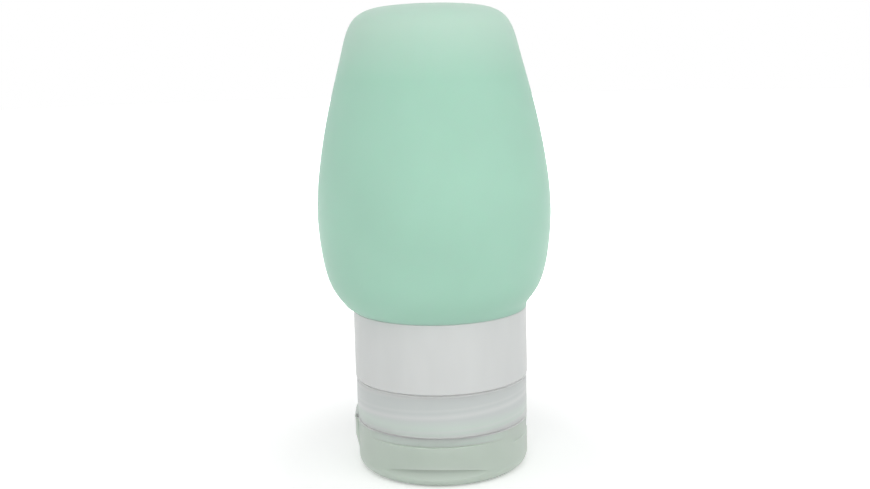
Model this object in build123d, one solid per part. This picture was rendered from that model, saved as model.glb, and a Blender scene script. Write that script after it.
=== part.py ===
from build123d import *
import math
import os

# A travel squeeze bottle that stands upside down on its flip-top cap.
# Lengths are in millimetres, angles in degrees. The origin is the centre of the lid's flat end,
# +Z runs up through the cap, the collar and the silicone body, the lid's hinge is on the -X side,
# its thumb ledge on the +X side, and -Y is the front.

# Overall sizes
cap_radius = 17.0
lid_height = 10.0
base_height = 8.5
collar_height = 13.5
body_height = 58.8
belly_radius = 22.76

# Silicone body
body_wall = 2.2
neck_end_gap = 0.3
# Share of the body's height above the collar, and share of the belly's radius, up the side
side_shares = [
    (0.015, 0.785),
    (0.068, 0.885),
    (0.184, 0.972),
    (0.318, 1.0),
    (0.490, 0.962),
    (0.685, 0.860),
    (0.855, 0.744),
]
# The same shares round the corner of the flat end, from the side to the crown
corner_shares = [(0.913, 0.699), (0.955, 0.634), (0.979, 0.537), (0.993, 0.375), (0.9985, 0.188)]

# Threaded neck
thread_depth = 1.2
thread_lead = 4.2
male_root_half = 1.05
male_crest_half = 0.6
male_turns = 0.95
male_start_angle = -135.0
neck_wall = 1.8
flange_height = 1.6
spigot_wall = 2.2
spigot_top_gap = 0.6
barb_height = 0.5
barb_length = 2.2
barb_count = 3

# Clamp collar
collar_wall = 1.5
collar_proud = 0.15
collar_edge = 0.15
snap_depth = 0.3
snap_half = 0.35
snap_clearance = 0.05

# Cap base
skirt_wall = 2.7
thread_clearance = 0.3
female_root_half = 1.25
female_crest_half = 0.8
female_start_turns = -0.48
thread_embed = 0.4
skirt_gap = 0.12
skirt_edge = 0.15
deck_thickness = 1.1
step_height = 1.0
step_width = 1.1
step_clearance = 0.2
spout_length = 5.8
spout_root_radius = 4.6
spout_tip_radius = 3.0
spout_bore_radius = 1.5
funnel_radius = 3.0
funnel_length = 4.2
bore_mouth_chamfer = 0.3

# Seals
gasket_thickness = 1.2
gasket_seat_depth = 0.3
gasket_clearance = 0.3
valve_radius = 6.0
valve_thickness = 1.0
valve_dish_radius = 2.6
valve_dish_depth = 0.25
valve_dish_slope = 0.4
slit_length = 3.6
slit_width = 0.1
valve_clearance = 0.2

# Valve retainer and its cup on the deck
cup_wall = 1.1
cup_lip = 0.8
cup_bead = 0.15
cup_bead_gap = 0.05
retainer_height = 1.5
retainer_bore_radius = 3.8
retainer_clearance = 0.05
retainer_chamfer = 0.5

# Flip lid
parting_gap = 0.1
lid_wall = 1.5
lid_end_thickness = 1.4
lid_end_round = 2.4
lid_inner_round = 0.8
lid_rim_edge = 0.15
groove_height = 1.9
groove_depth = 0.5
groove_reach = 13.0
thumb_half_angle = 32.0
thumb_ledge = 6.7
thumb_depth = 0.2
scoop_half_width = 11.2
scoop_reach = 14.0
scoop_height = 2.4
scoop_lip = 1.5
scoop_depth = 0.75
# Share of the scoop's half width, and share of its height, along one side of its arch
scoop_shares = [(1.0, 0.0), (0.93, 0.34), (0.76, 0.68), (0.50, 0.90)]
relief_depth = 0.9
relief_drop = 0.5
plug_shoulder_radius = 2.4
plug_shoulder_gap = 0.1
plug_entry = 1.2
plug_clearance = 0.06
plug_taper = 0.35

# Living hinge
hinge_half_width = 3.5
hinge_proud = 0.25
lid_pad_height = 3.5
base_pad_height = 0.45
base_pad_taper = 1.4
film_height = 0.3
film_thickness = 0.2

# One overrun serves every cut
over = 1.0

# Heights and radii that follow from the sizes above
base_top = lid_height + base_height
collar_top = base_top + collar_height
body_top = collar_top + body_height
deck_top = lid_height + deck_thickness
gasket_bottom = deck_top - gasket_seat_depth
neck_lip = gasket_bottom + gasket_thickness
skirt_top = base_top - skirt_gap
lid_rim = lid_height - parting_gap
skirt_radius = cap_radius - skirt_wall
thread_crest_radius = skirt_radius - thread_clearance
thread_root_radius = thread_crest_radius - thread_depth
neck_bore_radius = thread_root_radius - neck_wall
spigot_radius = neck_bore_radius + spigot_wall
collar_radius = cap_radius + collar_proud
collar_bore_radius = collar_radius - collar_wall
flange_top = base_top + flange_height
flange_radius = collar_bore_radius - snap_clearance
spigot_top = collar_top - spigot_top_gap
male_start = neck_lip + male_root_half + thread_clearance / 2
lid_bore_radius = cap_radius - lid_wall
spout_tip = lid_height - spout_length
cup_radius = valve_radius + valve_clearance
retainer_bottom = deck_top + valve_thickness
retainer_top = retainer_bottom + retainer_height
cup_top = retainer_top + cup_lip
hinge_x = -(cap_radius + hinge_proud)
film_bottom = lid_height - film_height / 2
film_top = lid_height + film_height / 2


def turned(outline, arc=360.0):
    """Turns a closed outline of (radius, height) edges about the Z axis."""
    return revolve(Plane.XZ * make_face(outline), Axis.Z, revolution_arc=arc)


def turned_points(*points, arc=360.0):
    """Turns a closed polygon of (radius, height) points about the Z axis."""
    return turned(Polyline(*points, close=True), arc)


def bar(outline, half_length):
    """A bar along Y, centred on it, with a closed outline of (x, height) points."""
    face = make_face(Polyline(*outline, close=True))
    return extrude(Plane.XZ * face, half_length, both=True)


def moved_inward(points, inset):
    """The points, each moved by the inset square to the line through its two neighbours."""
    moved = []
    for before, point, after in zip(points, points[1:], points[2:]):
        run = (after[0] - before[0], after[1] - before[1])
        length = math.hypot(*run)
        moved.append((point[0] - inset * run[1] / length, point[1] + inset * run[0] / length))
    return moved


def crescents(depth, reach, bottom, top, slope=0.0):
    """Cuts front and back, as deep as given in the middle and faded out at the reach to each side."""
    floor = cap_radius - depth
    sagitta = floor - math.sqrt(cap_radius**2 - reach**2)
    radius = (reach**2 + sagitta**2) / (2 * sagitta)
    ring = turned_points(
        (radius + slope, bottom),
        (radius + cap_radius, bottom),
        (radius + cap_radius, top),
        (radius, top),
    )
    return [Pos(0, side * (floor - radius), 0) * ring for side in (1, -1)]


def thread_ridge(root_radius, crest_radius, root_half, crest_half, rise, start_angle, start_height):
    """A right-hand thread ridge, sunk a little way into the wall that carries it."""
    outward = 1 if crest_radius > root_radius else -1
    sunk_radius = root_radius - outward * thread_embed
    section = Polyline(
        (sunk_radius, -root_half),
        (root_radius, -root_half),
        (crest_radius, -crest_half),
        (crest_radius, crest_half),
        (root_radius, root_half),
        (sunk_radius, root_half),
        close=True,
    )
    path = Helix(pitch=thread_lead, height=rise, radius=root_radius)
    ridge = sweep(Plane.XZ * make_face(section), path=path, is_frenet=True)
    return Pos(0, 0, start_height) * Rot(0, 0, start_angle) * ridge


def body_curve(start, inset):
    """The silicone body's outline from the collar to the crown, moved inward by the inset."""
    shares = side_shares + corner_shares
    middle = [(radius * belly_radius, collar_top + height * body_height) for height, radius in shares]
    outline = [(collar_radius, collar_top), *middle, (0, body_top)]
    return Spline(start, *moved_inward(outline, inset), (0, body_top - inset))


def make_threaded_neck():
    """White neck: threaded mouth, flange that the collar snaps onto, and barbed spigot."""
    barb_step = (spigot_top - flange_top) / (barb_count + 1)
    barbs = []
    for index in range(barb_count):
        barb_top = flange_top + (index + 1) * barb_step + barb_length / 2
        barbs += [
            (spigot_radius, barb_top - barb_length),
            (spigot_radius + barb_height, barb_top - barb_length),
            (spigot_radius, barb_top),
        ]
    neck = turned_points(
        (neck_bore_radius, neck_lip),
        (thread_root_radius, neck_lip),
        (thread_root_radius, base_top),
        (flange_radius, base_top),
        (flange_radius, flange_top),
        (spigot_radius, flange_top),
        *barbs,
        (spigot_radius, spigot_top),
        (neck_bore_radius, spigot_top),
    )
    snap_height = base_top + flange_height / 2
    snap_groove = turned_points(
        (flange_radius - snap_depth, snap_height),
        (flange_radius + over, snap_height - snap_half - over),
        (flange_radius + over, snap_height + snap_half + over),
    )
    ridge = thread_ridge(
        thread_root_radius,
        thread_crest_radius,
        male_root_half,
        male_crest_half,
        male_turns * thread_lead,
        male_start_angle,
        male_start,
    )
    return neck - snap_groove + ridge


def make_clamp_collar():
    """White sleeve that clamps the silicone neck on the spigot and snaps round the flange."""
    snap_height = base_top + flange_height / 2
    return turned_points(
        (collar_bore_radius, base_top),
        (collar_radius - collar_edge, base_top),
        (collar_radius, base_top + collar_edge),
        (collar_radius, collar_top - collar_edge),
        (collar_radius - collar_edge, collar_top),
        (collar_bore_radius, collar_top),
        (collar_bore_radius, snap_height + snap_half),
        (collar_bore_radius - snap_depth, snap_height),
        (collar_bore_radius, snap_height - snap_half),
    )


def make_squeeze_body(neck):
    """Hollow silicone bottle, its neck gripped between the spigot's barbs and the collar."""
    inner_start = (spigot_radius, collar_top)
    neck_end = flange_top + neck_end_gap
    outline = [
        body_curve((collar_radius, collar_top), 0),
        Line((0, body_top), (0, body_top - body_wall)),
        body_curve(inner_start, body_wall),
        Polyline(
            inner_start,
            (spigot_radius, neck_end),
            (collar_bore_radius, neck_end),
            (collar_bore_radius, collar_top),
            (collar_radius, collar_top),
        ),
    ]
    return turned(outline) - neck


def make_cap_base():
    """Frosted screw cap: threaded skirt, deck, spout, valve cup and the hinge's upper pad."""
    step_radius = lid_bore_radius - step_clearance
    seat_inner = neck_bore_radius - gasket_clearance
    seat_outer = thread_root_radius + gasket_clearance
    cup_outer = cup_radius + cup_wall
    bead_bottom = retainer_top + cup_bead_gap
    bead_middle = (bead_bottom + cup_top) / 2
    shell = turned_points(
        (spout_bore_radius, deck_top - funnel_length),
        (funnel_radius, deck_top),
        (cup_radius, deck_top),
        (cup_radius, bead_bottom),
        (cup_radius - cup_bead, bead_middle),
        (cup_radius, cup_top),
        (cup_outer, cup_top),
        (cup_outer, deck_top),
        (seat_inner, deck_top),
        (seat_inner, gasket_bottom),
        (seat_outer, gasket_bottom),
        (seat_outer, deck_top),
        (skirt_radius, deck_top),
        (skirt_radius, skirt_top),
        (cap_radius - skirt_edge, skirt_top),
        (cap_radius, skirt_top - skirt_edge),
        (cap_radius, lid_height + skirt_edge),
        (cap_radius - skirt_edge, lid_height),
        (step_radius, lid_height),
        (step_radius, lid_height - step_height),
        (step_radius - step_width, lid_height - step_height),
        (step_radius - step_width, lid_height),
        (spout_root_radius, lid_height),
        (spout_tip_radius, spout_tip),
        (spout_bore_radius + bore_mouth_chamfer, spout_tip),
        (spout_bore_radius, spout_tip + bore_mouth_chamfer),
    )
    pad_top = film_top + base_pad_height + base_pad_taper
    pad = bar(
        [
            (hinge_x, film_top),
            (hinge_x, film_top + base_pad_height),
            (-cap_radius, pad_top),
            (-skirt_radius, pad_top),
            (-skirt_radius, film_top),
        ],
        hinge_half_width,
    )
    start_height = male_start + thread_lead * (female_start_turns + 1 / 2)
    rise = skirt_top - skirt_edge - female_root_half - start_height
    ridge = thread_ridge(
        skirt_radius,
        thread_root_radius + thread_clearance,
        female_root_half,
        female_crest_half,
        rise,
        male_start_angle + 360 * female_start_turns,
        start_height,
    )
    return shell + pad + ridge


def make_flip_lid():
    """Frosted flip lid: cup with plug, hinge pad, thumb ledge, finger grooves and finger scoops."""
    rounding_middle = lid_end_round * (1 - math.sqrt(1 / 2))
    plug_radius = spout_bore_radius - plug_clearance
    shoulder_top = spout_tip - plug_shoulder_gap
    plug_top = spout_tip + plug_entry
    outline = [
        Line((0, 0), (cap_radius - lid_end_round, 0)),
        ThreePointArc(
            (cap_radius - lid_end_round, 0),
            (cap_radius - rounding_middle, rounding_middle),
            (cap_radius, lid_end_round),
        ),
        Polyline(
            (cap_radius, lid_end_round),
            (cap_radius, lid_rim - lid_rim_edge),
            (cap_radius - lid_rim_edge, lid_rim),
            (lid_bore_radius, lid_rim),
            (lid_bore_radius, lid_end_thickness + lid_inner_round),
            (lid_bore_radius - lid_inner_round, lid_end_thickness),
            (plug_shoulder_radius, lid_end_thickness),
            (plug_shoulder_radius, shoulder_top),
            (plug_radius, shoulder_top),
            (plug_radius, spout_tip),
            (plug_radius - plug_taper, plug_top),
            (0, plug_top),
            (0, 0),
        ),
    ]
    lid = turned(outline)

    pad_bottom = film_bottom - lid_pad_height
    relief_top = pad_bottom - relief_drop
    lid -= bar(
        [
            (-cap_radius, relief_top),
            (-cap_radius + relief_depth, 0),
            (-cap_radius + relief_depth, -over),
            (-cap_radius - over, -over),
            (-cap_radius - over, relief_top),
        ],
        cap_radius,
    )
    lid += bar(
        [
            (hinge_x, film_bottom),
            (hinge_x, pad_bottom),
            (-cap_radius + relief_depth, lid_end_thickness),
            (-lid_bore_radius, lid_end_thickness),
            (-lid_bore_radius, film_bottom),
        ],
        hinge_half_width,
    )

    thumb_ramp = turned_points(
        (cap_radius - thumb_depth, thumb_ledge),
        (cap_radius + over, thumb_ledge - thumb_depth - over),
        (cap_radius + over, lid_rim),
        (cap_radius, lid_rim),
        arc=2 * thumb_half_angle,
    )
    lid -= Rot(0, 0, -thumb_half_angle) * thumb_ramp
    groove_bottom = lid_height - groove_height
    lid -= crescents(groove_depth, groove_reach, groove_bottom, lid_height)
    return lid - make_scoop_cuts()


def make_scoop_cuts():
    """Cuts for the finger scoops front and back, each an arch with a ramp that is deepest at its top."""
    right = [(side * scoop_half_width, scoop_lip + rise * scoop_height) for side, rise in scoop_shares]
    left = [(-side, height) for side, height in reversed(right)]
    scoop_top = scoop_lip + scoop_height
    edge = Spline(*right, (0, scoop_top), *left)
    arch = extrude(Plane.XZ * make_face([edge, Line(left[-1], right[0])]), 2 * cap_radius, both=True)
    cuts = []
    for ramp in crescents(scoop_depth, scoop_reach, scoop_lip, scoop_top, scoop_depth):
        cuts += ramp.intersect(arch)
    return cuts


def make_living_hinge():
    """Thin film that joins the pads of base and lid on the hinge line."""
    return bar(
        [
            (hinge_x, film_bottom),
            (hinge_x + film_thickness, film_bottom),
            (hinge_x + film_thickness, film_top),
            (hinge_x, film_top),
        ],
        hinge_half_width,
    )


def make_neck_gasket():
    """Flat silicone washer between the neck's lip and the deck."""
    return turned_points(
        (neck_bore_radius, gasket_bottom),
        (thread_root_radius, gasket_bottom),
        (thread_root_radius, neck_lip),
        (neck_bore_radius, neck_lip),
    )


def make_no_drip_valve():
    """Silicone disc, dished on both faces, with a cross slit through its thin middle."""
    valve_top = deck_top + valve_thickness
    dish_edge = valve_dish_radius + valve_dish_slope
    disc = turned_points(
        (0, deck_top + valve_dish_depth),
        (valve_dish_radius, deck_top + valve_dish_depth),
        (dish_edge, deck_top),
        (valve_radius, deck_top),
        (valve_radius, valve_top),
        (dish_edge, valve_top),
        (valve_dish_radius, valve_top - valve_dish_depth),
        (0, valve_top - valve_dish_depth),
    )
    middle = (deck_top + valve_top) / 2
    slit = Pos(0, 0, middle) * Box(slit_length, slit_width, valve_thickness)
    return disc - slit - Rot(0, 0, 90) * slit


def make_valve_retainer():
    """Snap ring that holds the slit disc down on the deck."""
    outer = cup_radius - retainer_clearance
    return turned_points(
        (retainer_bore_radius, retainer_bottom),
        (outer, retainer_bottom),
        (outer, retainer_top),
        (retainer_bore_radius + retainer_chamfer, retainer_top),
        (retainer_bore_radius, retainer_top - retainer_chamfer),
    )


def main():
    os.makedirs("parts", exist_ok=True)
    threaded_neck = make_threaded_neck()
    pieces = {
        "squeeze_body": make_squeeze_body(threaded_neck),
        "threaded_neck": threaded_neck,
        "clamp_collar": make_clamp_collar(),
        "neck_gasket": make_neck_gasket(),
        "cap_base": make_cap_base(),
        "living_hinge": make_living_hinge(),
        "flip_lid": make_flip_lid(),
        "no_drip_valve": make_no_drip_valve(),
        "valve_retainer": make_valve_retainer(),
    }
    for name, shape in pieces.items():
        export_step(shape, f"parts/{name}.step")


main()
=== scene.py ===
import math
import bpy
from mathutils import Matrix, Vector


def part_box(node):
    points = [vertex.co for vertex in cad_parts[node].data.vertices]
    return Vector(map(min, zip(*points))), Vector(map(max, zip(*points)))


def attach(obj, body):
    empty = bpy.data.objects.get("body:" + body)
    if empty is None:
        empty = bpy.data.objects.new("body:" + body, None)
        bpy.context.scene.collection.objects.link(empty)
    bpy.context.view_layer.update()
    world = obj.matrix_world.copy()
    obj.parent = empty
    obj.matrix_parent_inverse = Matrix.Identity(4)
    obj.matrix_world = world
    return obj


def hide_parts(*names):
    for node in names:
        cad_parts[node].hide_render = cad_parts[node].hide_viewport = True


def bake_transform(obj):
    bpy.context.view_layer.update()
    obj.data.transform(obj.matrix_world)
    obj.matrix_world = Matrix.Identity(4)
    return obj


bl_info = {
    "name": "Silicone travel bottle",
    "version": (1, 0, 0),
    "blender": (4, 5, 0),
    "location": "3D View > Sidebar > Bottle",
    "description": "Dresses a packed travel bottle with silicone, white and frosted plastic, and lights it",
    "category": "Object",
}

from typing import NamedTuple

import bmesh
import bpy
import numpy as np
from bpy.props import FloatProperty, FloatVectorProperty, IntProperty, PointerProperty
from mathutils import Matrix, Vector

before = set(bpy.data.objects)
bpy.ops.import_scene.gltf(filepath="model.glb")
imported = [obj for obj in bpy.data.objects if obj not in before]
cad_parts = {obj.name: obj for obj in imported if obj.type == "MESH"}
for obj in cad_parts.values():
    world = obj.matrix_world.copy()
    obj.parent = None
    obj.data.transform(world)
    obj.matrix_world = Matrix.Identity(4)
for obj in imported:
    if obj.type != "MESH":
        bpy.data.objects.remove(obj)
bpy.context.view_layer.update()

# Everything is in metres, in the frame's own axes: +Z up, the hinge on -X, the thumb ledge on +X
# and the front on -Y
MM = 0.001
BODY_LOW, BODY_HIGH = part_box("squeeze_body")
GASKET_LOW, GASKET_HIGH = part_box("neck_gasket")
VALVE_LOW, VALVE_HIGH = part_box("no_drip_valve")
FILM_LOW, FILM_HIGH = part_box("living_hinge")
COLLAR_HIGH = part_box("clamp_collar")[1]
COLLAR_RADIUS = COLLAR_HIGH.x
COLLAR_TOP = COLLAR_HIGH.z
BELLY_RADIUS = BODY_HIGH.x
BODY_TOP = BODY_HIGH.z
BASE_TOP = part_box("cap_base")[1].z
PARTING_LINE = (FILM_LOW.z + FILM_HIGH.z) / 2

# Share of the body's height above the collar, and share of the belly's radius, from the collar to the crown
SIDE_SHARES = (
    (0.015, 0.785),
    (0.068, 0.885),
    (0.184, 0.972),
    (0.318, 1.0),
    (0.490, 0.962),
    (0.685, 0.860),
    (0.855, 0.744),
)
CORNER_SHARES = ((0.913, 0.699), (0.955, 0.634), (0.979, 0.537), (0.993, 0.375), (0.9985, 0.188))

# What the properties below say of a length, a colour, a share and an angle
LENGTH = {"unit": "LENGTH", "subtype": "DISTANCE"}
COLOUR = {"subtype": "COLOR", "min": 0, "max": 1}
SHARE = {"subtype": "FACTOR", "min": 0, "max": 1}
ANGLE = {"unit": "ROTATION", "subtype": "ANGLE"}

WHITE = (1.0, 1.0, 1.0, 1.0)


class Relief(NamedTuple):
    """A layer of bumps: the size and detail of its grain, how deep it is and how strongly it shows."""

    grain: float
    detail: float
    depth: float
    strength: float


class Band(NamedTuple):
    """A blurred band of the neck's thread seen through the cap, painted lighter as a highlight; its height is
    the one on the front.
    """

    height: float
    half_width: float
    strength: float


class Lamp(NamedTuple):
    """A square soft lamp; its power is the studio setting of the given name."""

    name: str
    power: str
    place: tuple
    size: float


# The neck's thread seen through the cap's base, painted as lighter highlight bands
THREAD_LEAD = 4.2 * MM
THREAD_BANDS = (
    Band(height=14.1 * MM, half_width=0.7 * MM, strength=0.6),
    Band(height=15.4 * MM, half_width=0.4 * MM, strength=0.3),
)
LAMPS = (
    Lamp("key_lamp", "key", (0.42, -0.30, 0.30), 0.40),
    Lamp("fill_lamp", "fill", (-0.45, -0.28, 0.15), 0.40),
    Lamp("front_lamp", "front", (0.0, -0.60, 0.12), 0.35),
    Lamp("top_softbox", "softbox", (0.02, -0.32, 0.50), 0.20),
)


def smooth_curve(points, count):
    """Evenly spaced points on the natural cubic spline through the given (radius, height) points."""
    points = np.array(points, float)
    gaps = np.hypot(*np.diff(points, axis=0).T)
    knots = np.concatenate([[0.0], np.cumsum(gaps)])
    size = len(points)
    matrix = np.eye(size)
    right = np.zeros_like(points)
    for i in range(1, size - 1):
        matrix[i, i - 1 : i + 2] = gaps[i - 1], 2 * (gaps[i - 1] + gaps[i]), gaps[i]
        rise_after = (points[i + 1] - points[i]) / gaps[i]
        rise_before = (points[i] - points[i - 1]) / gaps[i - 1]
        right[i] = 6 * (rise_after - rise_before)
    bend = np.linalg.solve(matrix, right)
    places = np.linspace(0, knots[-1], count)
    span = np.clip(np.searchsorted(knots, places, side="right") - 1, 0, size - 2)
    gap = gaps[span][:, None]
    before = (knots[span + 1] - places)[:, None]
    after = (places - knots[span])[:, None]
    cubic = (bend[span] * before**3 + bend[span + 1] * after**3) / (6 * gap)
    from_start = (points[span] / gap - bend[span] * gap / 6) * before
    from_end = (points[span + 1] / gap - bend[span + 1] * gap / 6) * after
    return cubic + from_start + from_end


def moved_inward(points, inset):
    """The points of an outline, each moved inward by the inset, square to the outline."""
    run = np.gradient(points, axis=0)
    run /= np.hypot(*run.T)[:, None]
    return points + inset * np.stack([-run[:, 1], run[:, 0]], axis=1)


def rounded_rectangle(inner, outer, low, high, corner, steps=4):
    """A (radius, height) outline of a ring's section with rounded corners."""
    corners = (
        (outer - corner, low + corner, -90),
        (outer - corner, high - corner, 0),
        (inner + corner, high - corner, 90),
        (inner + corner, low + corner, 180),
    )
    outline = []
    for radius, height, start in corners:
        for step in range(steps + 1):
            angle = math.radians(start + 90 * step / steps)
            outline.append((radius + corner * math.cos(angle), height + corner * math.sin(angle)))
    return outline


def finished_object(name, mesh, sharp_angle=math.radians(40)):
    """Turns an edit mesh into an object in the scene, smooth except at its sharp edges."""
    data = bpy.data.meshes.new(name)
    mesh.to_mesh(data)
    mesh.free()
    data.shade_smooth()
    data.set_sharp_from_angle(angle=sharp_angle)
    obj = bpy.data.objects.new(name, data)
    bpy.context.scene.collection.objects.link(obj)
    return obj


def turned_mesh(name, outline, segments, sideways=None, on_axis=1e-7):
    """A closed mesh: a closed (radius, height) outline turned about Z, each ring moved along X."""
    mesh = bmesh.new()
    rings = []
    for radius, height in outline:
        move = sideways(height) if sideways else 0.0
        if radius < on_axis:
            rings.append([mesh.verts.new((move, 0, height))])
            continue
        angles = [2 * math.pi * step / segments for step in range(segments)]
        rings.append([
            mesh.verts.new((move + radius * math.cos(angle), radius * math.sin(angle), height))
            for angle in angles
        ])
    for ring, above in zip(rings, rings[1:] + rings[:1]):
        for step in range(segments):
            after = (step + 1) % segments
            if len(ring) == 1 and len(above) == 1:
                continue
            if len(ring) == 1:
                mesh.faces.new((ring[0], above[after], above[step]))
            elif len(above) == 1:
                mesh.faces.new((ring[step], ring[after], above[0]))
            else:
                mesh.faces.new((ring[step], ring[after], above[after], above[step]))
    bmesh.ops.recalc_face_normals(mesh, faces=mesh.faces)
    return finished_object(name, mesh)


class NodeTree:
    """Adds and joins the nodes of a material or of the world."""

    def __init__(self, owner, output):
        owner.use_nodes = True
        self.nodes = owner.node_tree.nodes
        self.links = owner.node_tree.links
        self.nodes.clear()
        self.output = self.nodes.new(output)

    def feed(self, socket, value):
        """Joins another node's output to a socket, or sets a plain value on it."""
        if isinstance(value, bpy.types.NodeSocket):
            self.links.new(value, socket)
        else:
            socket.default_value = value

    def feed_all(self, node, values):
        """Feeds the named sockets of a node; an underscore in a name stands for a space."""
        for name, value in values.items():
            self.feed(node.inputs[name.replace("_", " ")], value)

    def add(self, kind, **values):
        """Adds a node and feeds its named sockets."""
        node = self.nodes.new(kind)
        self.feed_all(node, values)
        return node

    def show(self, shader):
        """Makes a shader the one that is seen."""
        self.feed(self.output.inputs["Surface"], shader)

    def maths(self, operation, *values):
        """A Math node of numbers and other nodes' outputs."""
        node = self.nodes.new("ShaderNodeMath")
        node.operation = operation
        for socket, value in zip(node.inputs, values):
            self.feed(socket, value)
        return node.outputs["Value"]

    def ranged(self, source, low, high, source_low=0.3, source_high=0.7):
        """Maps a source, which is a noise with its usual spread unless told, to values from low to high."""
        node = self.add(
            "ShaderNodeMapRange", Value=source, From_Min=source_low, From_Max=source_high,
            To_Min=low, To_Max=high,
        )
        return node.outputs["Result"]

    def mixed(self, factor, first, second):
        """Mixes two colours, each of them written or another node's output."""
        node = self.nodes.new("ShaderNodeMix")
        node.data_type = "RGBA"
        self.feed(node.inputs["Factor"], factor)
        sockets = {socket.identifier: socket for socket in (*node.inputs, *node.outputs)}
        for name, colour in (("A_Color", first), ("B_Color", second)):
            written = not isinstance(colour, bpy.types.NodeSocket)
            self.feed(sockets[name], (*colour, 1) if written else colour)
        return sockets["Result_Color"]

    def seen_directly(self):
        """One for rays from the camera, mirrors and clear plastic, and zero for the others."""
        path = self.nodes.new("ShaderNodeLightPath")
        seen = self.maths("MAXIMUM", path.outputs["Is Camera Ray"], path.outputs["Is Glossy Ray"])
        return self.maths("MAXIMUM", seen, path.outputs["Is Transmission Ray"])


class MaterialTree(NodeTree):
    """The nodes of one material, round its main shader."""

    def __init__(self, name):
        self.material = bpy.data.materials.new(name)
        super().__init__(self.material, "ShaderNodeOutputMaterial")
        self.shader = self.nodes.new("ShaderNodeBsdfPrincipled")
        self.show(self.shader.outputs["BSDF"])
        self.place = self.nodes.new("ShaderNodeTexCoord").outputs["Object"]

    def set(self, **values):
        """Feeds the shader's own sockets."""
        self.feed_all(self.shader, values)

    def noise(self, size, detail=2.0, stretch=None):
        """Noise whose grains are about the given size across."""
        place = self.place
        if stretch:
            place = self.add("ShaderNodeMapping", Vector=place, Scale=stretch).outputs["Vector"]
        node = self.add("ShaderNodeTexNoise", Vector=place, Scale=1 / size, Detail=detail)
        return node.outputs["Fac"]

    def clouded(self, colour, share, size, stretch=None):
        """The colour in slow clouds of the given size, each lighter or darker by up to the share."""
        clouds = self.ranged(self.noise(size, stretch=stretch), 0.0, 1.0)
        return self.mixed(clouds, tinted(colour, 1 - share), tinted(colour, 1 + share))

    def roughen(self, roughness, smoother, rougher, patch):
        """A roughness that changes over patches of the given size."""
        patches = self.noise(patch, detail=3)
        self.set(Roughness=self.ranged(patches, roughness - smoother, roughness + rougher))

    def emboss(self, *layers):
        """Lays each layer of relief on the one before."""
        below = {}
        for layer in layers:
            grain = self.noise(layer.grain, layer.detail)
            bump = self.add(
                "ShaderNodeBump", Height=grain, Distance=layer.depth, Strength=layer.strength, **below
            )
            below = {"Normal": bump.outputs["Normal"]}
        self.set(**below)

    def along(self, axis):
        """Where a point lies along X, Y or Z in the piece's own axes."""
        return self.add("ShaderNodeSeparateXYZ", Vector=self.place).outputs[axis]

    def ridge(self, lead, height, half_width, crest=0.1):
        """One over a right-hand thread's ridge and zero beside it, for a ridge at the height on the front."""
        angle = self.maths("ARCTAN2", self.along("Y"), self.along("X"))
        climb = self.maths("MULTIPLY", angle, lead / (2 * math.pi))
        lifted = self.maths("SUBTRACT", self.along("Z"), climb)
        above = self.maths("SUBTRACT", lifted, height + lead / 4)
        across = self.maths("ABSOLUTE", self.maths("WRAP", above, lead / 2, -lead / 2))
        return self.ranged(across, 1.0, 0.0, crest * half_width, half_width)


def tinted(colour, share):
    """The colour, lighter for a share above 1 and darker below it."""
    return tuple(min(1.0, channel * share) for channel in colour)


def dressed(node, material):
    """Gives a CAD node one material in all its slots."""
    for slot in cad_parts[node].material_slots:
        slot.material = material


def silicone_material(name, settings, cloud, crown=None):
    """Matte silicone: soft light through the wall, a powdery grain, slow clouds and a crown painted paler as
    a highlight.
    """
    tree = MaterialTree(name)
    skin = tree.clouded(tuple(settings.colour), share=cloud, size=18 * MM)
    if crown:
        # Painted highlight: the silicone is painted paler towards the flat end, standing in for the soft
        # light on the shoulder
        low, high, pale = crown
        skin = tree.mixed(tree.ranged(tree.along("Z"), 0.0, 1.0, low, high), skin, pale)
    tree.set(Base_Color=skin)
    tree.roughen(settings.roughness, smoother=0.04, rougher=0.04, patch=2.5 * MM)
    tree.emboss(
        Relief(grain=6 * MM, detail=1, depth=0.04 * MM, strength=0.4),
        Relief(grain=0.5 * MM, detail=2, depth=0.004 * MM, strength=0.5),
    )
    tree.set(Subsurface_Weight=settings.depth_share, Subsurface_Scale=settings.depth)
    tree.set(Subsurface_Radius=(0.6, 1.0, 0.8), IOR=1.41, Specular_IOR_Level=0.12)
    return tree.material


def white_plastic_material(name, settings):
    """Moulded white plastic: a little gloss, faint flow marks up the walls and a fine grain."""
    tree = MaterialTree(name)
    skin = tree.clouded(tuple(settings.white), share=0.015, size=4 * MM, stretch=(1, 1, 0.25))
    tree.set(Base_Color=skin)
    tree.roughen(settings.white_roughness, smoother=0.05, rougher=0.07, patch=1.6 * MM)
    tree.emboss(
        Relief(grain=1.6 * MM, detail=1, depth=0.008 * MM, strength=0.5),
        Relief(grain=0.5 * MM, detail=2, depth=0.002 * MM, strength=0.5),
    )
    tree.set(Subsurface_Weight=0.15, Subsurface_Scale=1.0 * MM, Subsurface_Radius=(1.0, 0.9, 0.8))
    tree.set(IOR=1.49, Specular_IOR_Level=0.2)
    return tree.material


def frosted_plastic_material(name, settings, colour, shading=None, film=False):
    """Frosted see-through plastic with an uneven eroded face; no light spreads inside a mere film."""
    tree = MaterialTree(name)
    skin = tree.clouded(colour, share=0.015, size=7 * MM, stretch=(1, 1, 0.4))
    if shading:
        skin = shading(tree, settings, skin)
    tree.set(Base_Color=skin)
    tree.roughen(settings.frosting, smoother=0.03, rougher=0.03, patch=2 * MM)
    tree.emboss(
        Relief(grain=3 * MM, detail=1, depth=0.015 * MM, strength=0.4),
        Relief(grain=0.6 * MM, detail=2, depth=0.003 * MM, strength=0.5),
    )
    tree.set(Transmission_Weight=0.0 if film else settings.clearness, IOR=1.4)
    tree.set(Subsurface_Weight=0.0 if film else 1.0)
    tree.set(Subsurface_Scale=5.0 * MM, Subsurface_Radius=(0.9, 0.9, 0.9))
    return tree.material


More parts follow.
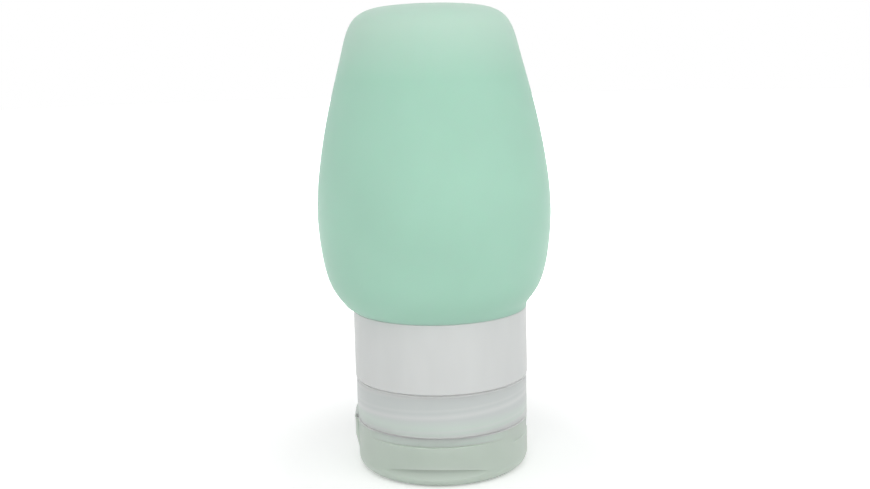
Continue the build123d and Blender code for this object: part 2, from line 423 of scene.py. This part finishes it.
def painted_edge_highlight(tree, settings, skin):
    """Paints a highlight on the thin rounded edges at the parting line and the base's top, which lightens the
    shade in the gaps there.
    """
    for height in (PARTING_LINE, BASE_TOP):
        across = tree.maths("ABSOLUTE", tree.maths("SUBTRACT", tree.along("Z"), height))
        # Painted highlight: a lighter colour within a band round each edge's height
        edge = tree.ranged(across, 1.0, 0.0, settings.edge_crest, settings.edge_width)
        skin = tree.mixed(edge, skin, tuple(settings.edge_highlight_colour))
    return skin


def white_neck(tree, settings, skin):
    """The white neck and its thread, blurred behind the skirt, above the clear deck; the thread's ridges get
    painted highlights.
    """
    behind = tree.ranged(tree.along("Z"), 0.0, 1.0, settings.neck_start, settings.neck_full)
    skin = tree.mixed(behind, skin, tuple(settings.neck_through))
    bands = [
        tree.maths("MULTIPLY", tree.ridge(THREAD_LEAD, band.height, band.half_width), band.strength)
        for band in THREAD_BANDS
    ]
    skin = tree.mixed(tree.maths("MAXIMUM", *bands), skin, tuple(settings.thread_ridge_highlight))
    return painted_edge_highlight(tree, settings, skin)


def painted_groove_light(tree, settings, skin):
    """Paints the top of the lid's wall lighter in its two finger grooves, as painted light over the shade
    under the base's overhang.
    """
    height, reach = settings.rim_height, settings.groove_reach
    full = PARTING_LINE - settings.rim_full * height
    above = tree.ranged(tree.along("Z"), 0.0, 1.0, PARTING_LINE - height, full)
    beside = tree.maths("ABSOLUTE", tree.along("X"))
    within = tree.ranged(beside, 1.0, 0.0, settings.groove_full * reach, reach)
    groove = tree.maths("MULTIPLY", above, within)
    return painted_edge_highlight(tree, settings, tree.mixed(groove, skin, tuple(settings.groove_light_colour)))


class BodySettings(bpy.types.PropertyGroup):
    """Sizes and finish of the silicone body."""

    wall: FloatProperty(name="Wall", description="Thickness of the silicone", default=2.2 * MM, **LENGTH)
    collar_wall: FloatProperty(
        name="Collar wall", description="Thickness of the collar round the neck", default=1.5 * MM, **LENGTH
    )
    neck_radius: FloatProperty(
        name="Neck radius", description="Inner radius of the silicone neck", default=13.75 * MM, **LENGTH
    )
    neck_blend: FloatProperty(
        name="Neck blend", description="Height above the collar at which the belly's hollow begins",
        default=0.3 * MM, **LENGTH,
    )
    sideways: FloatProperty(
        name="Sideways", description="How far the soft body sits off the collar's axis",
        default=-0.66 * MM, **LENGTH,
    )
    settle: FloatProperty(
        name="Settle", description="Height above the collar over which the body moves off the axis",
        default=1.0 * MM, **LENGTH,
    )
    segments: IntProperty(name="Segments", description="Faces round the body", default=160)
    rings: IntProperty(name="Rings", description="Rings from the collar to the crown", default=110)
    colour: FloatVectorProperty(
        name="Silicone", description="Mint-green silicone", default=(0.434, 0.712, 0.572), **COLOUR
    )
    # The crown colour is a painted highlight: paler silicone towards the flat end
    painted_crown_highlight_colour: FloatVectorProperty(
        name="Crown", description="Paler silicone where the flat end glows",
        default=(0.54, 0.755, 0.637), **COLOUR,
    )
    crown_depth: FloatProperty(
        name="Crown depth", description="How far down from the flat end the silicone is paler",
        default=14 * MM, **LENGTH,
    )
    crown_full: FloatProperty(
        name="Crown full", description="Share of that depth in which it is palest", default=0.3, **SHARE
    )
    roughness: FloatProperty(
        name="Roughness", description="Matte skin of the silicone", default=0.40, **SHARE
    )
    depth_share: FloatProperty(
        name="Light inside", description="Share of the light that spreads inside the wall",
        default=0.4, **SHARE,
    )
    depth: FloatProperty(
        name="Light depth", description="How far light spreads in the silicone", default=3.0 * MM, **LENGTH
    )


class SealSettings(bpy.types.PropertyGroup):
    """Sizes and finish of the milky silicone seals."""

    gasket_width: FloatProperty(
        name="Washer width", description="Radial width of the neck washer", default=1.8 * MM, **LENGTH
    )
    gasket_corner: FloatProperty(
        name="Washer corner", description="Rounding of the neck washer", default=0.3 * MM, **LENGTH
    )
    slit_length: FloatProperty(
        name="Slit length", description="Length of each cut in the valve", default=3.6 * MM, **LENGTH
    )
    slit_width: FloatProperty(
        name="Slit width", description="Width of each cut in the valve", default=0.1 * MM, **LENGTH
    )
    dish_radius: FloatProperty(
        name="Dish radius", description="Radius of the valve's thin middle", default=2.6 * MM, **LENGTH
    )
    dish_depth: FloatProperty(
        name="Dish depth", description="Depth of the dish on each face", default=0.25 * MM, **LENGTH
    )
    dish_slope: FloatProperty(
        name="Dish slope", description="Width of the slope round the dish", default=0.4 * MM, **LENGTH
    )
    valve_corner: FloatProperty(
        name="Valve corner", description="Rounding of the valve's edge", default=0.2 * MM, **LENGTH
    )
    colour: FloatVectorProperty(
        name="Seal silicone", description="Milky seal silicone", default=(0.78, 0.80, 0.78), **COLOUR
    )
    roughness: FloatProperty(name="Roughness", description="Skin of the seals", default=0.45, **SHARE)
    depth_share: FloatProperty(
        name="Light inside", description="Share of the light that spreads inside", default=0.5, **SHARE
    )
    depth: FloatProperty(
        name="Light depth", description="How far light spreads in the seals", default=1.5 * MM, **LENGTH
    )


class PlasticSettings(bpy.types.PropertyGroup):
    """Colours and finishes of the white and frosted plastic."""

    white: FloatVectorProperty(
        name="White", description="White moulded plastic", default=(0.708, 0.723, 0.716), **COLOUR
    )
    white_roughness: FloatProperty(
        name="White roughness", description="Gloss of the white plastic", default=0.38, **SHARE
    )
    frosted: FloatVectorProperty(
        name="Frosted", description="Tint of the frosted plastic", default=(0.612, 0.72, 0.622), **COLOUR
    )
    # Painted light: the cap's base is the same frosted plastic as the lid, painted lighter where its deck
    # catches the light
    frosted_base_painted_lighter: FloatVectorProperty(
        name="Frosted base", description="Tint of the cap's base below the neck",
        default=(0.70, 0.80, 0.735), **COLOUR,
    )
    neck_through: FloatVectorProperty(
        name="Neck through", description="The white neck as it looks through the cap's base",
        default=(0.68, 0.72, 0.708), **COLOUR,
    )
    neck_start: FloatProperty(
        name="Neck start", description="Height where the neck begins to show through the base",
        default=12.0 * MM, **LENGTH,
    )
    neck_full: FloatProperty(
        name="Neck full", description="Height from which the neck shows fully through the base",
        default=13.6 * MM, **LENGTH,
    )
    # Painted highlight on the thread's ridges as they show through the cap's base
    thread_ridge_highlight: FloatVectorProperty(
        name="Thread through", description="The thread's ridge as it looks through the cap's base",
        default=(0.81, 0.83, 0.82), **COLOUR,
    )
    # Painted highlight on the thin rounded edges at the parting line and the base's top
    edge_highlight_colour: FloatVectorProperty(
        name="Edge glow", description="Frosted plastic at its thin rounded edges",
        default=(0.95, 1.0, 0.97), **COLOUR,
    )
    edge_width: FloatProperty(
        name="Edge width", description="How far the glow reaches from an edge", default=0.45 * MM, **LENGTH
    )
    edge_crest: FloatProperty(
        name="Edge crest", description="How far from an edge the glow is full", default=0.12 * MM, **LENGTH
    )
    # Painted light: the top of the lid's wall is painted lighter in the finger grooves, over the shade under
    # the base's overhang
    groove_light_colour: FloatVectorProperty(
        name="Rim", description="Frosted plastic at the top of the lid's wall",
        default=(0.74, 0.94, 0.79), **COLOUR,
    )
    rim_height: FloatProperty(
        name="Rim height", description="Height of the thin top of the lid's wall",
        default=1.85 * MM, **LENGTH,
    )
    rim_full: FloatProperty(
        name="Rim full", description="Share of that height with the full rim colour", default=0.8, **SHARE
    )
    groove_reach: FloatProperty(
        name="Groove reach", description="How far the finger grooves reach to each side",
        default=13.5 * MM, **LENGTH,
    )
    groove_full: FloatProperty(
        name="Groove full", description="Share of that reach with the full rim colour",
        default=0.7, **SHARE,
    )
    frosting: FloatProperty(
        name="Frosting", description="Blur of what shows through", default=0.36, **SHARE
    )
    clearness: FloatProperty(
        name="Clearness", description="Share of the light that passes through", default=0.08, **SHARE
    )
    strap_thickness: FloatProperty(
        name="Strap thickness", description="How proud the strap stands of the hinge pads",
        default=0.07 * MM, **LENGTH,
    )
    strap_reach: FloatProperty(
        name="Strap reach", description="How far the strap runs over each pad from the parting line",
        default=0.22 * MM, **LENGTH,
    )
    strap_rows: IntProperty(
        name="Strap rows", description="Rows of faces in which the strap bends", default=12
    )


class StudioSettings(bpy.types.PropertyGroup):
    """Camera, lamps and floor."""

    distance: FloatProperty(
        name="Camera distance", description="From the bottle's axis", default=0.225, **LENGTH
    )
    height: FloatProperty(name="Camera height", description="Above the floor", default=0.0835, **LENGTH)
    lens: FloatProperty(
        name="Lens", description="Focal length in millimetres", default=47.96, unit="CAMERA"
    )
    pitch: FloatProperty(
        name="Pitch", description="How far the camera looks down", default=math.radians(9.92), **ANGLE
    )
    roll: FloatProperty(
        name="Roll", description="How far the camera leans", default=math.radians(1.43), **ANGLE
    )
    yaw: FloatProperty(
        name="Yaw", description="How far the camera turns left", default=math.radians(0.17), **ANGLE
    )
    azimuth: FloatProperty(
        name="Azimuth", description="How far the camera stands round to the right",
        default=math.radians(5.0), **ANGLE,
    )
    ambient: FloatProperty(
        name="Ambient", description="Strength of the light from all round", default=0.62
    )
    key: FloatProperty(
        name="Key light", description="Power of the large lamp on the right", default=0.45, unit="POWER"
    )
    fill: FloatProperty(
        name="Fill light", description="Power of the large lamp on the left", default=0.10, unit="POWER"
    )
    front: FloatProperty(
        name="Front light", description="Power of the lamp behind the camera", default=0.39, unit="POWER"
    )
    softbox: FloatProperty(
        name="Softbox", description="Power of the softbox above the front", default=0.42, unit="POWER"
    )
    floor_radius: FloatProperty(
        name="Floor radius", description="Radius of the round floor", default=1.6, **LENGTH
    )
    floor_colour: FloatVectorProperty(
        name="Floor", description="Pale floor", default=(0.90, 0.90, 0.90), **COLOUR
    )
    floor_glow: FloatProperty(
        name="Floor glow", description="White that the camera sees in the floor near the bottle",
        default=0.30, **SHARE,
    )
    glow_start: FloatProperty(
        name="Glow start", description="From the bottle to where the floor begins to turn plain white",
        default=0.03, **LENGTH,
    )
    glow_end: FloatProperty(
        name="Glow end", description="From the bottle to where the floor is plain white",
        default=0.16, **LENGTH,
    )


class BOTTLE_OT_silicone_body(bpy.types.Operator):
    """Builds the hollow mint-green squeeze body with its neck inside the collar"""

    bl_idname = "bottle.silicone_body"
    bl_label = "Silicone body"

    def execute(self, context):
        settings = context.scene.bottle_body

        def sideways(height):
            share = min(1.0, max(0.0, (height - COLLAR_TOP) / settings.settle))
            return settings.sideways * share * share * (3 - 2 * share)

        body = turned_mesh("silicone_body", self.section(settings), settings.segments, sideways)
        # A painted highlight: paler silicone towards the flat end
        depth = settings.crown_depth
        crown = (BODY_TOP - depth, BODY_TOP - settings.crown_full * depth, tuple(settings.painted_crown_highlight_colour))
        skin = silicone_material("mint_silicone_skin", settings, cloud=0.03, crown=crown)
        body.data.materials.append(skin)
        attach(body, "bottle")
        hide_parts("squeeze_body")
        return {"FINISHED"}

    def section(self, settings):
        """The closed outline of the wall: up the outside, down the inside and round the neck."""
        rise = BODY_TOP - COLLAR_TOP
        through = [(COLLAR_RADIUS, COLLAR_TOP)]
        for height, radius in SIDE_SHARES + CORNER_SHARES:
            through.append((radius * BELLY_RADIUS, COLLAR_TOP + height * rise))
        through.append((0.0, BODY_TOP))
        outer = smooth_curve(through, settings.rings)
        outer[-1] = (0.0, BODY_TOP)
        inner = moved_inward(outer, settings.wall)[::-1]
        inner[0] = (0.0, BODY_TOP - settings.wall)
        inner = inner[inner[:, 1] > COLLAR_TOP + settings.neck_blend]
        neck_outer = COLLAR_RADIUS - settings.collar_wall
        neck = [
            (settings.neck_radius, COLLAR_TOP),
            (settings.neck_radius, BODY_LOW.z),
            (neck_outer, BODY_LOW.z),
            (neck_outer, COLLAR_TOP),
        ]
        return [tuple(point) for point in (*outer, *inner)] + neck


class BOTTLE_OT_seals(bpy.types.Operator):
    """Builds the neck washer and the slit valve in milky silicone"""

    bl_idname = "bottle.seals"
    bl_label = "Seals"

    WASHER_SEGMENTS = 96
    VALVE_SEGMENTS = 64

    def execute(self, context):
        settings = context.scene.bottle_seals
        material = silicone_material("milky_silicone_skin", settings, cloud=0.01)
        radius = GASKET_HIGH.x
        section = rounded_rectangle(
            radius - settings.gasket_width, radius, GASKET_LOW.z, GASKET_HIGH.z, settings.gasket_corner
        )
        washer = turned_mesh("neck_washer", section, self.WASHER_SEGMENTS)
        washer.data.materials.append(material)
        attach(washer, "cap_seal")
        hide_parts("neck_gasket")

        valve = self.slit_disc(settings)
        valve.data.materials.append(material)
        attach(valve, "cap")
        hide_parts("no_drip_valve")
        return {"FINISHED"}

    def slit_disc(self, settings):
        """The valve: a dished disc with a cross cut through its thin middle."""
        low, high = VALVE_LOW.z, VALVE_HIGH.z
        dish, slope_end = settings.dish_radius, settings.dish_radius + settings.dish_slope
        rim = rounded_rectangle(dish, VALVE_HIGH.x, low, high, settings.valve_corner)
        outline = [
            (0.0, low + settings.dish_depth),
            (dish, low + settings.dish_depth),
            (slope_end, low),
            *(point for point in rim if point[0] > slope_end),
            (slope_end, high),
            (dish, high - settings.dish_depth),
            (0.0, high - settings.dish_depth),
        ]
        disc = turned_mesh("slit_valve", outline, self.VALVE_SEGMENTS)
        cutters = bmesh.new()
        middle = Matrix.Translation((0, 0, (low + high) / 2))
        size = Matrix.Diagonal((settings.slit_length, settings.slit_width, 2 * (high - low), 1))
        for turn in (0, 90):
            place = middle @ Matrix.Rotation(math.radians(turn), 4, "Z")
            bmesh.ops.create_cube(cutters, size=1, matrix=place @ size)
        cutter = finished_object("slit_cutter", cutters)
        cut = disc.modifiers.new("slits", "BOOLEAN")
        cut.object = cutter
        cut.use_self = True
        bpy.context.view_layer.update()
        graph = bpy.context.evaluated_depsgraph_get()
        disc.data = bpy.data.meshes.new_from_object(disc.evaluated_get(graph))
        disc.modifiers.clear()
        bpy.data.objects.remove(cutter)
        return disc


class BOTTLE_OT_white_plastic(bpy.types.Operator):
    """Finishes the collar, the threaded neck and the valve's snap ring in white plastic"""

    bl_idname = "bottle.white_plastic"
    bl_label = "White plastic"

    def execute(self, context):
        material = white_plastic_material("white_moulded_plastic", context.scene.bottle_plastic)
        for node in ("clamp_collar", "threaded_neck", "valve_retainer"):
            dressed(node, material)
        return {"FINISHED"}


class BOTTLE_OT_frosted_plastic(bpy.types.Operator):
    """Finishes the cap's base and its flip lid in frosted plastic"""

    bl_idname = "bottle.frosted_plastic"
    bl_label = "Frosted plastic"

    def execute(self, context):
        settings = context.scene.bottle_plastic
        for node, colour, shading in (
            ("cap_base", settings.frosted_base_painted_lighter, white_neck),
            ("flip_lid", settings.frosted, painted_groove_light),
        ):
            dressed(node, frosted_plastic_material(f"frosted_{node}", settings, tuple(colour), shading))
        return {"FINISHED"}


class BOTTLE_OT_hinge_strap(bpy.types.Operator):
    """Builds the thin strap between the cap's pad and the lid's pad"""

    bl_idname = "bottle.hinge_strap"
    bl_label = "Hinge strap"

    CLEAR = 0.01 * MM

    def execute(self, context):
        settings = context.scene.bottle_plastic
        strap = finished_object("hinge_strap", self.bending_mesh(settings))
        material = frosted_plastic_material("frosted_strap", settings, tuple(settings.frosted), film=True)
        strap.data.materials.append(material)
        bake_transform(strap)
        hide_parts("living_hinge")
        return {"FINISHED"}

    def bending_mesh(self, settings):
        """A closed T-section: it fills the film's slot, and its flange lies just clear of both pads."""
        in_slot = FILM_LOW.x - FILM_HIGH.x
        top, bottom = PARTING_LINE + settings.strap_reach, PARTING_LINE - settings.strap_reach
        slot_top, slot_bottom = FILM_HIGH.z - self.CLEAR, FILM_LOW.z + self.CLEAR
        rows = [(top, self.CLEAR), (FILM_HIGH.z, self.CLEAR)]
        rows += [(height, in_slot) for height in np.linspace(slot_top, slot_bottom, settings.strap_rows + 1)]
        rows += [(FILM_LOW.z, self.CLEAR), (bottom, self.CLEAR)]
        front, half = settings.strap_thickness, FILM_HIGH.y
        mesh = bmesh.new()
        rings = []
        for height, back in rows:
            corners = ((back, -half), (front, -half), (front, half), (back, half))
            rings.append([mesh.verts.new((FILM_LOW.x - out, across, height)) for out, across in corners])
        for ring, below in zip(rings, rings[1:]):
            for side in range(4):
                after = (side + 1) % 4
                mesh.faces.new((ring[side], ring[after], below[after], below[side]))
        mesh.faces.new(rings[0])
        mesh.faces.new(tuple(reversed(rings[-1])))
        bmesh.ops.recalc_face_normals(mesh, faces=mesh.faces)
        return mesh


class BOTTLE_OT_studio(bpy.types.Operator):
    """Sets up the pale floor, the white surround, the lamps and the camera"""

    bl_idname = "bottle.studio"
    bl_label = "Studio"

    FLOOR_SEGMENTS = 128

    def execute(self, context):
        scene = context.scene
        settings = scene.bottle_studio
        self.add_floor(settings)
        self.add_surround(scene, settings)
        for lamp in LAMPS:
            self.add_lamp(scene, lamp, getattr(settings, lamp.power))
        self.add_camera(scene, settings)
        scene.view_settings.view_transform = "Standard"
        return {"FINISHED"}

    def add_floor(self, settings):
        """A wide pale disc that keeps the bottle's shadow and shows as white to the camera."""
        mesh = bmesh.new()
        bmesh.ops.create_circle(
            mesh, cap_ends=True, segments=self.FLOOR_SEGMENTS, radius=settings.floor_radius
        )
        floor = finished_object("floor", mesh)
        tree = MaterialTree("pale_floor")
        tree.set(Base_Color=(*settings.floor_colour, 1), Roughness=0.9, Specular_IOR_Level=0.1)
        tree.emboss(Relief(grain=3 * MM, detail=2, depth=0.02 * MM, strength=0.2))
        away = tree.nodes.new("ShaderNodeVectorMath")
        away.operation = "LENGTH"
        tree.feed(away.inputs[0], tree.place)
        spread = tree.ranged(
            away.outputs["Value"], settings.floor_glow, 1.0, settings.glow_start, settings.glow_end
        )
        glow = tree.add("ShaderNodeEmission", Strength=tree.maths("MULTIPLY", tree.seen_directly(), spread))
        both = tree.nodes.new("ShaderNodeAddShader")
        tree.feed(both.inputs[0], tree.shader.outputs["BSDF"])
        tree.feed(both.inputs[1], glow.outputs["Emission"])
        tree.show(both.outputs["Shader"])
        floor.data.materials.append(tree.material)

    def add_surround(self, scene, settings):
        """A world that lights softly from all round and shows as plain white."""
        scene.world = bpy.data.worlds.new("white_surround")
        tree = NodeTree(scene.world, "ShaderNodeOutputWorld")
        light = tree.add("ShaderNodeBackground", Color=WHITE, Strength=settings.ambient)
        white = tree.add("ShaderNodeBackground", Color=WHITE, Strength=1.0)
        mix = tree.add("ShaderNodeMixShader", Fac=tree.seen_directly())
        tree.feed(mix.inputs[1], light.outputs["Background"])
        tree.feed(mix.inputs[2], white.outputs["Background"])
        tree.show(mix.outputs["Shader"])

    def add_lamp(self, scene, lamp, power):
        """A square soft lamp that points at the middle of the bottle."""
        data = bpy.data.lights.new(lamp.name, "AREA")
        data.energy = power
        data.size = lamp.size
        obj = bpy.data.objects.new(lamp.name, data)
        obj.location = lamp.place
        towards = Vector((0, 0, BODY_TOP / 2)) - Vector(lamp.place)
        obj.rotation_euler = towards.to_track_quat("-Z", "Y").to_euler()
        scene.collection.objects.link(obj)

    def add_camera(self, scene, settings):
        """The camera in front of the bottle, a little above its middle, leaning slightly."""
        data = bpy.data.cameras.new("camera")
        data.lens = settings.lens
        data.sensor_width = 36
        data.clip_start = 0.01
        camera = bpy.data.objects.new("camera", data)
        turn = Matrix.Rotation(settings.yaw, 4, "Z")
        tip = Matrix.Rotation(math.pi / 2 - settings.pitch, 4, "X")
        lean = Matrix.Rotation(-settings.roll, 4, "Z")
        place = Matrix.Translation((0, -settings.distance, settings.height))
        camera.matrix_world = Matrix.Rotation(settings.azimuth, 4, "Z") @ place @ turn @ tip @ lean
        scene.collection.objects.link(camera)
        scene.camera = camera


class BOTTLE_PT_sidebar(bpy.types.Panel):
    """Lists the bottle's pieces and their settings"""

    bl_idname = "BOTTLE_PT_sidebar"
    bl_label = "Travel bottle"
    bl_space_type = "VIEW_3D"
    bl_region_type = "UI"
    bl_category = "Bottle"

    def draw(self, context):
        scene = context.scene
        for settings, operators in (
            (scene.bottle_body, ("bottle.silicone_body",)),
            (scene.bottle_seals, ("bottle.seals",)),
            (scene.bottle_plastic, ("bottle.white_plastic", "bottle.frosted_plastic", "bottle.hinge_strap")),
            (scene.bottle_studio, ("bottle.studio",)),
        ):
            box = self.layout.box()
            for name in settings.__annotations__:
                box.prop(settings, name)
            for operator in operators:
                box.operator(operator)


SETTINGS = {
    "bottle_body": BodySettings,
    "bottle_seals": SealSettings,
    "bottle_plastic": PlasticSettings,
    "bottle_studio": StudioSettings,
}
CLASSES = (
    *SETTINGS.values(),
    BOTTLE_OT_silicone_body,
    BOTTLE_OT_seals,
    BOTTLE_OT_white_plastic,
    BOTTLE_OT_frosted_plastic,
    BOTTLE_OT_hinge_strap,
    BOTTLE_OT_studio,
    BOTTLE_PT_sidebar,
)


def register():
    for made in CLASSES:
        bpy.utils.register_class(made)
    for name, group in SETTINGS.items():
        setattr(bpy.types.Scene, name, PointerProperty(type=group))


def unregister():
    for name in SETTINGS:
        delattr(bpy.types.Scene, name)
    for made in reversed(CLASSES):
        bpy.utils.unregister_class(made)


def main():
    register()
    bpy.ops.bottle.silicone_body()
    bpy.ops.bottle.seals()
    bpy.ops.bottle.white_plastic()
    bpy.ops.bottle.frosted_plastic()
    bpy.ops.bottle.hinge_strap()
    bpy.ops.bottle.studio()
    bpy.context.view_layer.update()


if __name__ == "__main__":
    main()
